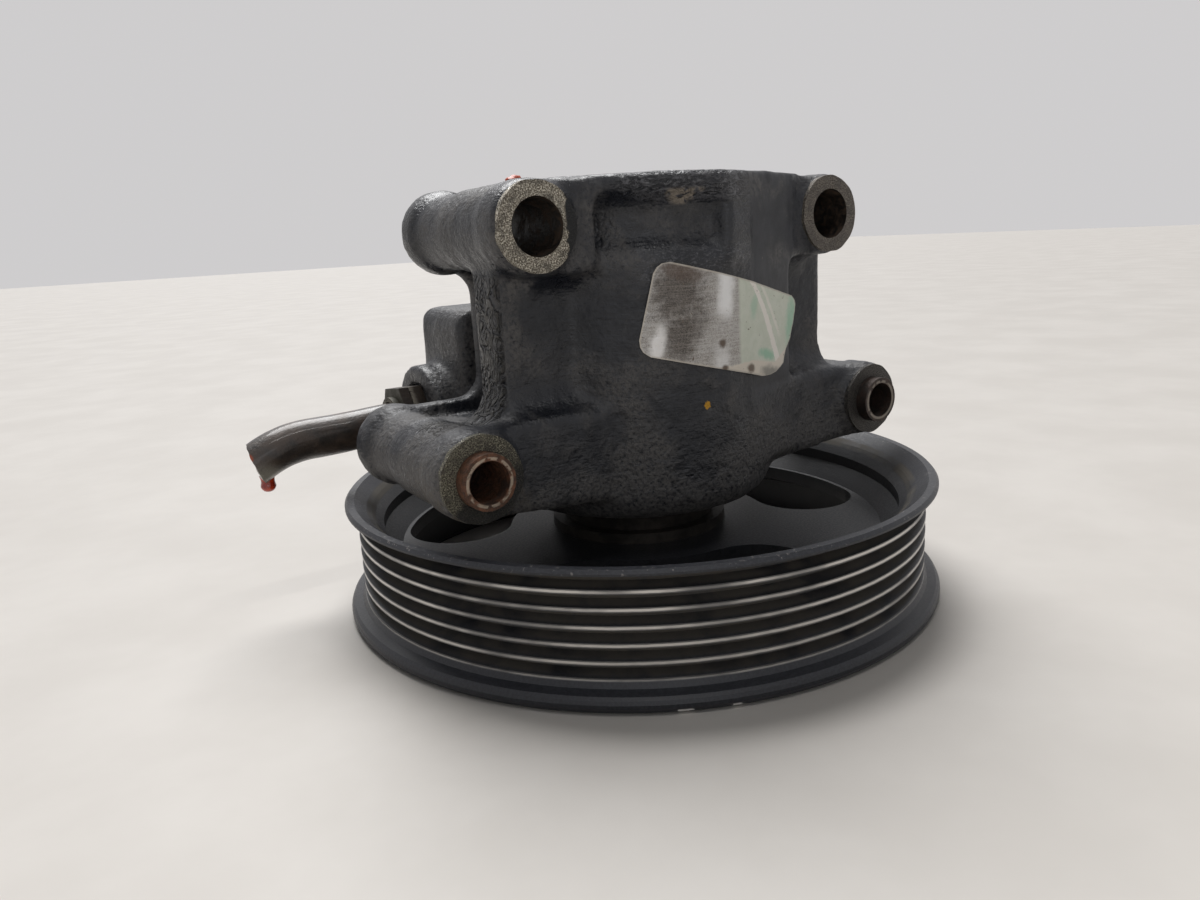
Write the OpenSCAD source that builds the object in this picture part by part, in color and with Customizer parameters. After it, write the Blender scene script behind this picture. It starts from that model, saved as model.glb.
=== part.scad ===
// Power steering pump with a ribbed belt pulley, standing on the pulley rim.
// Millimetres. +Z runs along the shaft from the pulley to the rear cover.
// The mounting faces look along -Y. The origin is the middle of the shaft's front end.

/* [Pulley] */
// Radius over the belt ribs
crest_r = 70; // [69:0.5:71]
// How far the lower flange stands out over the ribs
flange_out = 3.7; // [3:0.1:4.5]
// How far the upper lip stands out over the ribs
lip_out = 2.6; // [2:0.1:3.2]
// Distance from rib to rib
groove_pitch = 3.56; // [3.4:0.02:3.7]
// Depth of a belt groove
groove_depth = 2.6; // [2.2:0.1:3]
// Height of the lower flange with its cove
flange_h = 5.3; // [4.6:0.1:6]
// Height of the upper lip
lip_h = 1.64; // [1.4:0.02:2.2]
// Wall between groove root and cup
rim_wall = 3.4; // [2.8:0.1:4]
// How far the rim stands in front of the shaft end
rim_drop = 5.3; // [4.5:0.1:6]
// Thickness of the web
web_t = 3.5; // [3:0.1:4]
// Width of a web window
window_w = 26; // [20:1:28]
// Angle between the end centres of a web window
window_span = 48; // [36:1:54]
// Radius of the hub
hub_r = 19; // [17:0.5:21]

/* [Shaft] */
// Radius of the drive shaft
shaft_r = 8.5; // [8:0.1:9]
// Radius of the tapped hole for the pulley tool
tool_thread_r = 4.25; // [3.8:0.05:4.6]
// Depth of the tapped hole
tool_thread_len = 20; // [16:1:24]

/* [Casting] */
// Wall of the turned body round the pump bore
body_wall = 6.5; // [6:0.1:7]
// Wall of the neck under the head
neck_wall = 3.6; // [3.2:0.1:4]
// Wall of the head
head_wall = 8.7; // [8:0.1:9.4]
// Height of the nose above the shaft end
nose_z = 18.3; // [17.5:0.1:19]
// Height of the head's top above the shaft end
head_z = 93.4; // [93:0.1:95]
// Rounding of the nose
nose_round = 6.5; // [5:0.5:8]
// Distance of the web edge from the middle
web_x = 46.7; // [45:0.1:47.5]
// Distance of the web front from the shaft axis
web_front = 18; // [17:0.5:20]
// Thickness of the web between the bosses
web_depth = 10.4; // [9:0.1:12]

// Turn of the flat flank on the right of the body
flank_turn = 18; // [16:0.5:20]
// Width of the flank from where it leaves the body
flank_len = 18.4; // [17:0.1:20]

/* [Mounting] */
// Distance of the mounting faces from the shaft axis
mount_y = 27.5; // [27:0.1:29]
// Half the distance between the upper bolts
upper_half = 40.5; // [40:0.1:41]
// Half the distance between the lower bolts
lower_half = 56.5; // [56:0.1:57.5]
// Height of the upper bolts
upper_z = 83.5; // [83:0.1:84]
// Height of the lower bolts
lower_z = 36.2; // [36:0.1:37]
// Radius of a boss collar
boss_r = 9.5; // [9.2:0.1:9.8]
// Radius of a boss between its collars
waist_r = 8.3; // [8:0.1:8.8]
// Where the bolt heads sit, behind the shaft axis
boss_back = 19.3; // [18:0.1:20.5]
// Radius of the bolt bores
bolt_r = 5.75; // [5.5:0.05:6]
// Radius inside a sleeve
sleeve_bore_r = 4.3; // [4.1:0.05:4.5]
// Length of a sleeve
sleeve_len = 16; // [12:1:20]
// How far a sleeve stands out of its boss
sleeve_proud = 3; // [2:0.5:4]

/* [Pump unit] */
// Radius of the pump bore
cavity_r = 27; // [26.6:0.1:27.3]
// Height of the bore's floor
cavity_z = 54; // [53:0.5:55]
// Thickness of the thrust plate
thrust_t = 7; // [6:0.5:7.5]
// Height of the cam ring
cam_h = 16; // [15:0.5:16.5]
// Thickness of the pressure plate
plate_t = 7; // [6.5:0.5:7.5]
// Thickness of the end cover
cover_t = 5; // [4.5:0.1:5.2]
// Radius of the rotor
rotor_r = 19; // [18.5:0.1:19.2]
// How far the cam ring opens at its two wide sides
cam_lift = 2; // [1.6:0.1:2.2]
// Thickness of a vane
vane_t = 1.5; // [1.2:0.1:1.8]

/* [Outlet and flow valve] */
// Distance of the valve axis behind the shaft axis
valve_y = 36; // [35.5:0.5:37]
// Height of the valve axis
valve_z = 38; // [37:0.5:39]
// Radius of the valve bore
valve_r = 8; // [7.8:0.1:8.3]
// Radius of the outlet boss
outlet_r = 13.2; // [12.8:0.1:13.8]
// Distance of the outlet face from the middle
outlet_x = 43; // [42:0.5:44]
// Travel of the valve spool
valve_travel = 6; // [4:0.5:7]
// Size of the outlet hexagons across flats
hex_af = 16; // [15.5:0.5:17]
// Radius of the pressure tube
tube_r = 4.75; // [4.6:0.05:4.9]
// Wall of the pressure tube
tube_wall = 1.2; // [1:0.1:1.4]
// Radius of the tube bend
tube_bend_r = 37; // [30:1:42]
// Angle of the tube bend
tube_bend = 32; // [20:1:40]
// Straight tube outside the nut
tube_run = 11.3; // [8:0.1:14]

/* [Inlet] */
// Place of the inlet across the pump
inlet_x = -14; // [-18:0.5:-12]
// Height of the inlet
inlet_z = 55; // [53:0.5:57]
// Radius of the inlet spigot
inlet_r = 7; // [6.5:0.1:7.5]
// Length of the spigot outside the casting
inlet_len = 20; // [16:1:22]

/* [Label] */
// Width of the foil label
label_w = 44; // [38:1:46]
// Height of the foil label
label_h = 19; // [16:1:21]
// Tilt of the foil label
label_tilt = -13; // [-16:1:0]

/* [Hidden] */
$fn = 64;
run_fit = 0.04;
slot_fit = 0.05;
slide_fit = 0.03;
seat_fit = 0.05;
foil_t = 0.2;
end_step = 0.05;
cut = 1;

groove_count = 6;
groove_half_angle = 20;
groove_flat = 0.7;
flange_r = crest_r + flange_out;
lip_r = crest_r + lip_out;
bead_r = 1.9;
groove_root_r = crest_r - groove_depth;
groove_half = groove_flat / 2 + groove_depth * tan(groove_half_angle);
cup_r = groove_root_r - rim_wall;
rim_h = flange_h + groove_count * groove_pitch + lip_h;
web_low = 6.5;
web_top = web_low + web_t;
window_count = 3;
window_turn = 4.25;
window_r = (hub_r + cup_r) / 2 + 4.5;
hub_top = nose_z - 2.5;
hub_groove_z = 2.2;
hub_groove_h = 2.2;
hub_groove_r = hub_r - 4.5;
hub_lip_r = hub_r + 3;

seal_r = shaft_r + 5.5;
seal_h = 8;
bush_r = shaft_r + 2;
bush_low = nose_z + seal_h + 4;
bush_high = cavity_z - 4;
shaft_pass_r = shaft_r + 0.5;

cam_low = cavity_z + thrust_t;
cam_high = cam_low + cam_h;
plate_high = cam_high + plate_t;
ring_h = 1.5;
ring_groove_r = cavity_r + 1.2;
cover_high = head_z - 1 - ring_h;
cover_low = cover_high - cover_t;
disc_r = cavity_r - slot_fit;
seal_wire_r = 0.95;
seal_mid_r = cavity_r - seal_wire_r;
seal_land_r = seal_mid_r - seal_wire_r;
cam_r = cavity_r - 0.9;
cam_min_r = rotor_r + 0.4;
axial_fit = 0.03;
vane_count = 10;
vane_in = rotor_r - 7;
vane_out = rotor_r - 0.05;
slot_end_r = 1.4;
dowel_r = 1.9;
dowel_at = (cam_min_r + cam_r) / 2;
spline_r = shaft_r - 1.9;
spline_tip_r = shaft_r - 1.1;
spline_teeth = 8;
spline_w = 1.8;
shaft_high = cam_high + 2.4;
clip_low = cam_high + 0.1;
clip_h = 1.1;
clip_in_r = spline_r - 0.9;
clip_out_r = spline_tip_r + 1.4;
plate_pocket_r = clip_out_r + 1.4;
plate_pocket_h = 3.6;

body_r = cavity_r + body_wall;
neck_r = cavity_r + neck_wall;
head_r = cavity_r + head_wall;
web_shift = 0.9;
bar_up = boss_r - 0.4;
bar_down = boss_r - 0.1;
bar_sag = 3;
bar_mid = waist_r - 3;
bar_front_t = 5.3;
arm_front = mount_y - 2.9;
pad_front = mount_y - 2.4;
arm_back = boss_back - 3;
pad_in_left = 25.3;
pad_in_right = 14;
flank_dist = body_r + 0.4;
flank_edge_y = flank_dist * cos(flank_turn) - flank_len * sin(flank_turn);
flank_depth = 14;
flank_top = head_z - 0.3;
neck_reach = 9.5;
pad_reach = (flank_dist * cos(flank_turn) - pad_front) / sin(flank_turn) + 0.5;
arm_reach = (flank_dist * cos(flank_turn) - arm_front) / sin(flank_turn) + 0.5;
flank_round_up = 4.5;
flank_round_low = 3.5;
ledge_round = arm_front - web_front - 0.1;
rib_half = waist_r + 0.3;
rib_x = 34.5;
rib_round = 6;
collar_front = 7;
collar_back = 6;
face_r = boss_r - 0.6;
face_h = 1.5;
bar_low_top = lower_z + bar_up;
bar_high_low = upper_z - bar_down;
shoulder_round = 4.5;
shoulder_z = head_z - 18;
head_h = 4;
head_chamfer = 1.2;
neck_round = head_r - neck_r;
bolt_pass_r = bolt_r - 1.1;

block_x0 = -36;
block_x1 = -2;
block_y0 = valve_y - 14;
block_y1 = valve_y + 10;
block_z1 = 65;
block_round = 4.5;

union_len = 12;
union_hex_len = 3.5;
nut_hex_len = 4.2;
nut_shank_r = 6;
nut_shank_len = 7;
nut_collar_len = 2.5;
nut_collar_r = tube_r + 1.2;
union_way_r = 3.2;
hex_gap = 0.2;
union_in = -outlet_x + union_len;
union_out = -outlet_x - union_hex_len;
nut_in = union_out - hex_gap;
nut_out = nut_in - nut_hex_len;
tube_in = nut_in + nut_shank_len;
tube_out = nut_out - nut_collar_len - tube_run;
spool_len = 22;
spool_x0 = union_in + 0.5;
spool_x1 = spool_x0 + spool_len;
spool_pocket = 9;
spring_x0 = spool_x1 - spool_pocket;
spring_r = 5.2;
spring_wire = 1.4;
spring_turns = 5;
valve_end = spool_x1 + valve_travel + 9;
union_seal_r = 0.8;

inlet_seat = 12;
inlet_boss_r = inlet_r + 4;
inlet_boss_y = block_y1 + 4;
inlet_wall = 1.3;
inlet_seal_r = 0.9;

label_x = 6;
label_z = 60.8;
label_round = 3;

// Helpers

// A round bar along Y from y0 to y1
module rod_y(x, z, r, y0, y1) {
    translate([x, y1, z])
        rotate([90, 0, 0])
            cylinder(r = r, h = y1 - y0);
}

// A round bar along X from x0 to x1
module rod_x(y, z, r, x0, x1) {
    translate([x0, y, z])
        rotate([0, 90, 0])
            cylinder(r = r, h = x1 - x0);
}

// A hexagonal bar along X, flats above and below
module hex_x(y, z, af, x0, x1) {
    translate([x0, y, z])
        rotate([0, 90, 0])
            cylinder(d = af / cos(30), h = x1 - x0, $fn = 6);
}

// An outline in X and Z, made solid from y0 to y1
module slab(y0, y1) {
    translate([0, y1, 0])
        rotate([90, 0, 0])
            linear_extrude(y1 - y0)
                children();
}

// A rectangle with round corners
module round_rect(x0, x1, z0, z1, r) {
    translate([x0 + r, z0])
        square([x1 - x0 - 2 * r, z1 - z0]);
    translate([x0, z0 + r])
        square([x1 - x0, z1 - z0 - 2 * r]);
    for (x = [x0 + r, x1 - r], z = [z0 + r, z1 - r])
        translate([x, z])
            circle(r);
}

// A hollow fillet in a corner that opens to +x and +y
module cove(r) {
    difference() {
        square(r);
        translate([r, r])
            circle(r);
    }
}

// A slot bent round the origin, middle at angle 0, its round ends a hair narrower
module kidney(r, w, span) {
    intersection() {
        difference() {
            circle(r + w / 2);
            circle(r - w / 2);
        }
        polygon([[0, 0], [2 * r, -2 * r * tan(span / 2)], [2 * r, 2 * r * tan(span / 2)]]);
    }
    for (s = [-1, 1])
        rotate(s * span / 2)
            translate([r, 0])
                circle(w / 2 - end_step);
}

// A ring of round wire
module wire_ring(r, wire_r, z) {
    rotate_extrude()
        translate([r, z])
            circle(wire_r, $fn = 24);
}

// Runs its children once for each boss: x, z
module at_bosses() {
    for (s = [-1, 1]) {
        translate([s * upper_half, 0, upper_z])
            children();
        translate([s * lower_half, 0, lower_z])
            children();
    }
}

module spline(r, tip_r, w) {
    circle(r);
    for (i = [0 : spline_teeth - 1])
        rotate(i * 360 / spline_teeth)
            translate([0, -w / 2])
                square([tip_r, w]);
}

// Casting

// Half section of the turned body
module body_section() {
    translate([0, nose_z])
        square([body_r - nose_round, nose_round]);
    translate([body_r - nose_round, nose_z + nose_round])
        circle(nose_round);
    translate([0, nose_z + nose_round])
        square([body_r, shoulder_z - nose_z - nose_round]);
    translate([body_r - shoulder_round, shoulder_z])
        circle(shoulder_round);
    square_to(neck_r, shoulder_z - shoulder_round, head_z - head_h);
    translate([neck_r, head_z - head_h])
        mirror([0, 1])
            cove(neck_round);
    square_to(head_r, head_z - head_h, head_z - head_chamfer);
    square_to(head_r - head_chamfer, head_z - head_h, head_z);
    translate([head_r - head_chamfer, head_z - head_chamfer])
        circle(head_chamfer);
}

module square_to(r, z0, z1) {
    translate([0, z0])
        square([r, z1 - z0]);
}

module turned_body() {
    rotate_extrude()
        intersection() {
            body_section();
            square_to(2 * head_r, nose_z, head_z);
        }
}

// One boss along Y with a machined face, two collars and a waist
module boss() {
    rod_y(0, 0, face_r, -mount_y, 0);
    rod_y(0, 0, boss_r, -mount_y + face_h, -mount_y + face_h + collar_front);
    rod_y(0, 0, waist_r, -mount_y + face_h, boss_back - 1);
    rod_y(0, 0, boss_r, boss_back - collar_back, boss_back);
}

// A bar from boss to boss, thinner than the plates before and behind it
module bar_core(half, z) {
    slab(-web_front, arm_back)
        translate([-half, z - bar_mid])
            square([2 * half, 2 * bar_mid]);
}

module lower_bars() {
    bar_core(lower_half, lower_z);
    slab(-arm_front, -arm_front + bar_front_t)
        polygon([[-lower_half, lower_z - bar_down], [-body_r / 2, lower_z - bar_down - bar_sag],
            [body_r / 2, lower_z - bar_down - bar_sag], [lower_half, lower_z - bar_down],
            [lower_half, bar_low_top], [-lower_half, bar_low_top]]);
}

module upper_bars() {
    bar_core(upper_half, upper_z);
    slab(-pad_front, -pad_front + bar_front_t)
        round_rect(-upper_half, -pad_in_left, bar_high_low, upper_z + bar_up, 2);
    slab(-pad_front, -pad_front + bar_front_t)
        round_rect(pad_in_right, upper_half, bar_high_low, upper_z + bar_up, 2);
}

// Ribs behind the web that join the back collars, with hollow corners
module back_ribs() {
    slab(boss_back - collar_back + 0.3, boss_back - 0.5)
        for (s = [0, 1])
            mirror([s, 0]) {
                translate([-lower_half, lower_z - rib_half])
                    square([lower_half, 2 * rib_half]);
                translate([-upper_half, upper_z - rib_half])
                    square([upper_half, 2 * rib_half]);
                translate([-rib_x, lower_z])
                    square([rib_x, upper_z - lower_z]);
                translate([-rib_x, lower_z + rib_half])
                    mirror([1, 0])
                        cove(rib_round);
                translate([-rib_x, upper_z - rib_half])
                    mirror([1, 0])
                        mirror([0, 1])
                            cove(rib_round);
            }
}

// Web between the bosses, with hollow corners where it meets the lower bars
module web() {
    slab(-web_front, -web_front + web_depth) {
        translate([-web_x, lower_z])
            square([2 * web_x, upper_z - lower_z]);
        for (s = [0, 1])
            mirror([s, 0])
                translate([web_x, bar_low_top - 1])
                    cove(ledge_round);
    }
}

// Runs its children in the flank's own directions
module at_flank() {
    rotate([0, 0, flank_turn])
        children();
}

// Flat flank that leaves the turned body and reaches out to both right bosses
module flank() {
    at_flank()
        slab(-flank_dist, -flank_dist + flank_depth) {
            translate([0, lower_z])
                square([flank_len, flank_top - lower_z]);
            translate([0, lower_z - bar_down])
                square([arm_reach, bar_low_top - 0.1 - lower_z + bar_down]);
            translate([-neck_reach, bar_high_low + 0.1])
                square([neck_reach + pad_reach, flank_top - bar_high_low - 0.1]);
            translate([flank_len, bar_low_top - 0.1])
                cove(flank_round_low);
            translate([flank_len, bar_high_low + 0.1])
                mirror([0, 1])
                    cove(flank_round_up);
        }
}

// What the flank takes off the head
module flank_cut() {
    at_flank()
        translate([-neck_reach, -2 * head_r, shoulder_z])
            cube([neck_reach + pad_reach, 2 * head_r - flank_dist + 0.05, head_z]);
}

// Hollow fillets along the ledges of the bars
module ledges() {
    for (s = [0, 1])
        mirror([s, 0, 0]) {
            translate([-web_x, 0, 0])
                rotate([90, 0, 90])
                    linear_extrude(web_x - 10)
                        translate([-web_front, bar_low_top])
                            mirror([1, 0])
                                cove(ledge_round);
            translate([1 - upper_half, 0, 0])
                rotate([90, 0, 90])
                    linear_extrude(upper_half - 11)
                        translate([-web_front, bar_high_low])
                            mirror([1, 0])
                                mirror([0, 1])
                                    cove(ledge_round);
        }
}

module valve_casting() {
    rod_x(valve_y, valve_z, outlet_r, -outlet_x, valve_end + 6);
    slab(0, valve_y)
        round_rect(-lower_half + 22, valve_end + 6, valve_z - 8, valve_z + 8, 3);
    slab(block_y0, block_y1)
        round_rect(block_x0, block_x1, valve_z, block_z1, block_round);
    slab(0, block_y0 + 2)
        round_rect(block_x0 + 6, block_x1, valve_z, block_z1, block_round);
    rod_y(inlet_x, inlet_z, inlet_boss_r, block_y0, inlet_boss_y);
}

module pump_bore() {
    translate([0, 0, cavity_z])
        cylinder(r = cavity_r, h = head_z - cavity_z + cut);
    translate([0, 0, cover_high])
        cylinder(r = ring_groove_r, h = ring_h);
    translate([0, 0, nose_z - cut])
        cylinder(r = shaft_pass_r, h = cavity_z - nose_z + 2 * cut);
    translate([0, 0, nose_z - cut])
        cylinder(r = seal_r, h = seal_h + cut);
    translate([0, 0, bush_low])
        cylinder(r = bush_r, h = bush_high - bush_low);
}

module bolt_bores() {
    for (s = [-1, 1]) {
        rod_y(s * upper_half, upper_z, bolt_r, -mount_y - cut, boss_back + cut);
        rod_y(s * lower_half, lower_z, bolt_r, -mount_y - cut, -mount_y + sleeve_len - sleeve_proud);
        rod_y(s * lower_half, lower_z, bolt_pass_r, -mount_y, boss_back + cut);
    }
}

module housing() {
    color([0.07, 0.07, 0.075])
        difference() {
            union() {
                difference() {
                    turned_body();
                    flank_cut();
                }
                lower_bars();
                upper_bars();
                translate([web_shift, 0, 0]) {
                    web();
                    ledges();
                }
                back_ribs();
                flank();
                valve_casting();
                at_bosses()
                    boss();
            }
            pump_bore();
            bolt_bores();
            rod_x(valve_y, valve_z, valve_r, -outlet_x - cut, valve_end);
            rod_y(inlet_x, inlet_z, inlet_r, inlet_boss_y - inlet_seat, inlet_boss_y + cut);
        }
}

// Pump unit

module end_cover() {
    color([0.2, 0.2, 0.21])
        rotate_extrude()
            difference() {
                square_to(disc_r, cover_low, cover_high);
                translate([seal_land_r, (cover_low + cover_high) / 2 - seal_wire_r])
                    square([cut + 2 * seal_wire_r, 2 * seal_wire_r]);
                square_to(cavity_r - 9, cover_high - 1.5, cover_high + cut);
            }
}

module cover_seal() {
    color([0.03, 0.03, 0.03])
        wire_ring(seal_mid_r, seal_wire_r, (cover_low + cover_high) / 2);
}

// Split wire ring that holds the cover in
module retaining_ring() {
    color([0.35, 0.34, 0.33])
        translate([0, 0, cover_high])
            linear_extrude(ring_h)
                difference() {
                    circle(ring_groove_r);
                    circle(cavity_r - 1.4);
                    rotate(60)
                        translate([0, -3])
                            square([2 * cavity_r, 6]);
                }
}

// Coned disc spring between plate and cover
module pressure_spring() {
    spring_t = 0.9;
    gap = cover_low - plate_high;
    color([0.3, 0.3, 0.32])
        rotate_extrude()
            polygon([[cavity_r - 12, plate_high], [cavity_r - 4, cover_low - spring_t],
                [cavity_r - 4, cover_low], [cavity_r - 12, plate_high + min(spring_t, gap)]]);
}

module pressure_plate() {
    port_r = (rotor_r + cam_min_r) / 2;
    color([0.45, 0.44, 0.42])
        difference() {
            rotate_extrude()
                difference() {
                    square_to(disc_r, cam_high, plate_high);
                    translate([seal_land_r, (cam_high + plate_high) / 2 - seal_wire_r])
                        square([cut + 2 * seal_wire_r, 2 * seal_wire_r]);
                    square_to(plate_pocket_r, cam_high - cut, cam_high + plate_pocket_h);
                }
            for (a = [45, 225])
                rotate(a)
                    translate([0, 0, cam_high - cut])
                        linear_extrude(plate_t + 2 * cut)
                            kidney(port_r, 3, 34);
            dowels(dowel_r + slide_fit);
        }
}

module plate_seal() {
    color([0.03, 0.03, 0.03])
        wire_ring(seal_mid_r, seal_wire_r, (cam_high + plate_high) / 2);
}

// Oval ring that drives the vanes in and out
module cam_ring() {
    color([0.5, 0.5, 0.5])
        difference() {
            translate([0, 0, cam_low])
                linear_extrude(cam_h)
                    difference() {
                        circle(cam_r);
                        for (s = [-1, 0, 1])
                            translate([s * cam_lift, 0])
                                circle(cam_min_r);
                    }
            dowels(dowel_r + slide_fit);
        }
}

module vane_slots(w, in_r, out_r) {
    for (i = [0 : vane_count - 1])
        rotate(i * 360 / vane_count)
            translate([in_r, -w / 2])
                square([out_r - in_r, w]);
}

module rotor() {
    color([0.42, 0.42, 0.44])
        translate([0, 0, cam_low + axial_fit])
            linear_extrude(cam_h - 2 * axial_fit)
                difference() {
                    circle(rotor_r);
                    vane_slots(vane_t + 2 * slot_fit, vane_in, rotor_r + cut);
                    for (i = [0 : vane_count - 1])
                        rotate(i * 360 / vane_count)
                            translate([vane_in, 0])
                                circle(slot_end_r);
                    spline(spline_r + slot_fit, spline_tip_r + slot_fit, spline_w + 2 * slot_fit);
                }
}

module vanes() {
    color([0.55, 0.55, 0.56])
        translate([0, 0, cam_low + axial_fit])
            linear_extrude(cam_h - 2 * axial_fit)
                vane_slots(vane_t, vane_in, vane_out);
}

module rotor_clip() {
    color([0.25, 0.25, 0.26])
        translate([0, 0, clip_low])
            linear_extrude(clip_h)
                difference() {
                    circle(clip_out_r);
                    circle(clip_in_r);
                    translate([0, -clip_in_r * 0.7])
                        square([2 * clip_out_r, clip_in_r * 1.4]);
                }
}

module thrust_plate() {
    port_r = (rotor_r + cam_min_r) / 2;
    color([0.45, 0.44, 0.42])
        difference() {
            translate([0, 0, cavity_z])
                linear_extrude(thrust_t)
                    difference() {
                        circle(disc_r);
                        circle(shaft_r + 0.8);
                    }
            for (a = [-45, 135])
                rotate(a)
                    translate([0, 0, cam_low - 3])
                        linear_extrude(3 + cut)
                            kidney(port_r, 3, 34);
            dowels(dowel_r + slide_fit);
        }
}

module dowels(r) {
    for (s = [-1, 1])
        translate([0, s * dowel_at, cavity_z + 2])
            cylinder(r = r, h = plate_high - cavity_z - 3);
}

module dowel_pins() {
    color([0.4, 0.4, 0.42])
        dowels(dowel_r);
}

// Shaft and pulley

module drive_shaft() {
    color([0.5, 0.49, 0.47])
        difference() {
            union() {
                cylinder(r = shaft_r, h = cam_low - cut);
                linear_extrude(shaft_high)
                    spline(spline_r, spline_tip_r, spline_w);
            }
            translate([0, 0, -cut])
                cylinder(r = tool_thread_r, h = tool_thread_len + cut);
            translate([0, 0, clip_low])
                linear_extrude(clip_h)
                    difference() {
                        circle(2 * shaft_r);
                        circle(clip_in_r);
                    }
        }
}

module shaft_bush() {
    color([0.55, 0.42, 0.25])
        translate([0, 0, bush_low])
            linear_extrude(bush_high - bush_low)
                difference() {
                    circle(bush_r);
                    circle(shaft_r + run_fit);
                }
}

// Cupped lip seal
module shaft_seal() {
    wall = 1.6;
    color([0.16, 0.07, 0.04])
        translate([0, 0, nose_z])
            rotate_extrude()
                difference() {
                    translate([shaft_r + run_fit, 0])
                        square([seal_r - shaft_r - run_fit, seal_h]);
                    translate([shaft_r + 1.5, wall])
                        square([seal_r - shaft_r - 1.5 - wall, seal_h]);
                    translate([shaft_r - cut, wall + 2.5])
                        square([cut + 1.5, seal_h]);
                }
}

// Half section of the rim with belt grooves, lip, cove and web
module pulley_section() {
    low = -rim_drop;
    groove_low = low + flange_h;
    groove_high = groove_low + groove_count * groove_pitch;
    top = low + rim_h;
    grooves = [for (i = [0 : groove_count - 1], k = [[-groove_half, crest_r], [-groove_flat / 2, groove_root_r],
        [groove_flat / 2, groove_root_r], [groove_half, crest_r]])
        [k[1], groove_low + (i + 0.5) * groove_pitch + k[0]]];
    bead = [for (a = [-90 : 25 : 60])
        [flange_r - bead_r + bead_r * cos(a), low + bead_r + bead_r * sin(a)]];
    polygon(concat(
        [[hub_r, web_low], [cup_r - 3, web_low], [cup_r, web_low - 2], [cup_r + 0.5, low + 1.5],
            [cup_r + 2, low]],
        bead,
        [[crest_r + 0.8, groove_low - 1.2], [crest_r, groove_low]],
        grooves,
        [[crest_r, groove_high], [lip_r, groove_high + 0.5], [lip_r, top - 0.7], [lip_r - 0.6, top],
            [lip_r - 2.2, top], [cup_r + 2.6, top - 3.3], [cup_r, top - 6.3], [cup_r, web_top + 4],
            [cup_r - 4, web_top], [hub_r, web_top]]));
}

module pulley() {
    color([0.06, 0.06, 0.065])
        difference() {
            rotate_extrude($fn = 128)
                pulley_section();
            for (i = [0 : window_count - 1])
                rotate(window_turn + i * 360 / window_count)
                    translate([0, 0, web_low - cut])
                        linear_extrude(web_t + 2 * cut)
                            kidney(window_r, window_w, window_span);
        }
}

// Pressed-on hub with a groove for the puller
module pulley_hub() {
    color([0.22, 0.2, 0.19])
        rotate_extrude()
            difference() {
                union() {
                    square_to(hub_r - 0.5, 0, web_low);
                    square_to(hub_r, web_low - 0.8, hub_top);
                    square_to(hub_lip_r, web_top, web_top + 2.5);
                }
                translate([hub_groove_r, hub_groove_z])
                    square([hub_r, hub_groove_h]);
                square_to(shaft_r, -cut, hub_top + cut);
            }
}

// Flow valve and outlet

module valve_spool() {
    color([0.5, 0.5, 0.51])
        difference() {
            rod_x(valve_y, valve_z, valve_r - slide_fit, spool_x0, spool_x1);
            difference() {
                rod_x(valve_y, valve_z, valve_r + cut, spool_x0 + 5, spool_x0 + 10);
                rod_x(valve_y, valve_z, valve_r - 2.2, spool_x0, spool_x1);
            }
            rod_x(valve_y, valve_z, spring_r + 0.5, spring_x0, spool_x1 + cut);
        }
}

// Coil spring that pushes the spool to the outlet
module valve_spring() {
    length = valve_end - spring_x0;
    arc = 360 * spring_turns * spring_wire / length;
    steps = 4;
    color([0.45, 0.45, 0.46])
        translate([spring_x0, valve_y, valve_z])
            rotate([0, 90, 0])
                linear_extrude(length, twist = -360 * spring_turns, slices = 9 * spring_turns, segments = 10)
                    polygon(concat(
                        [for (i = [0 : steps]) spring_r * [cos(i * arc / steps), sin(i * arc / steps)]],
                        [for (i = [steps : -1 : 0])
                            (spring_r - spring_wire) * [cos(i * arc / steps), sin(i * arc / steps)]]));
}

module outlet_union() {
    color([0.25, 0.19, 0.14])
        difference() {
            union() {
                rod_x(valve_y, valve_z, valve_r, -outlet_x, union_in);
                hex_x(valve_y, valve_z, hex_af, union_out, -outlet_x);
            }
            rod_x(valve_y, valve_z, union_way_r, union_out - cut, union_in + cut);
            rod_x(valve_y, valve_z, nut_shank_r, union_out - cut, tube_in);
            difference() {
                rod_x(valve_y, valve_z, valve_r + cut, -outlet_x, -outlet_x + 2 * union_seal_r);
                rod_x(valve_y, valve_z, valve_r - 2 * union_seal_r, -outlet_x - cut, -outlet_x + 4);
            }
        }
}

module union_seal() {
    color([0.03, 0.03, 0.03])
        translate([-outlet_x + union_seal_r, valve_y, valve_z])
            rotate([0, 90, 0])
                wire_ring(valve_r - union_seal_r, union_seal_r, 0);
}

module tube_nut() {
    color([0.3, 0.22, 0.15])
        difference() {
            union() {
                hex_x(valve_y, valve_z, hex_af, nut_out, nut_in);
                rod_x(valve_y, valve_z, nut_shank_r - seat_fit, nut_in, tube_in);
                rod_x(valve_y, valve_z, nut_collar_r, nut_out - nut_collar_len, nut_out);
            }
            rod_x(valve_y, valve_z, tube_r + seat_fit, nut_out - nut_collar_len - cut, tube_in + cut);
        }
}

// Cut-off tube that bends down towards its open end
module pressure_tube() {
    color([0.13, 0.09, 0.07]) {
        difference() {
            rod_x(valve_y, valve_z, tube_r, tube_out, tube_in);
            rod_x(valve_y, valve_z, tube_r - tube_wall, tube_out - cut, tube_in + cut);
        }
        translate([tube_out, valve_y, valve_z - tube_bend_r])
            rotate([90, 0, 0])
                rotate(90)
                    rotate_extrude(angle = tube_bend)
                        translate([tube_bend_r, 0])
                            difference() {
                                circle(tube_r);
                                circle(tube_r - tube_wall);
                            }
    }
}

// Inlet

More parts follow.
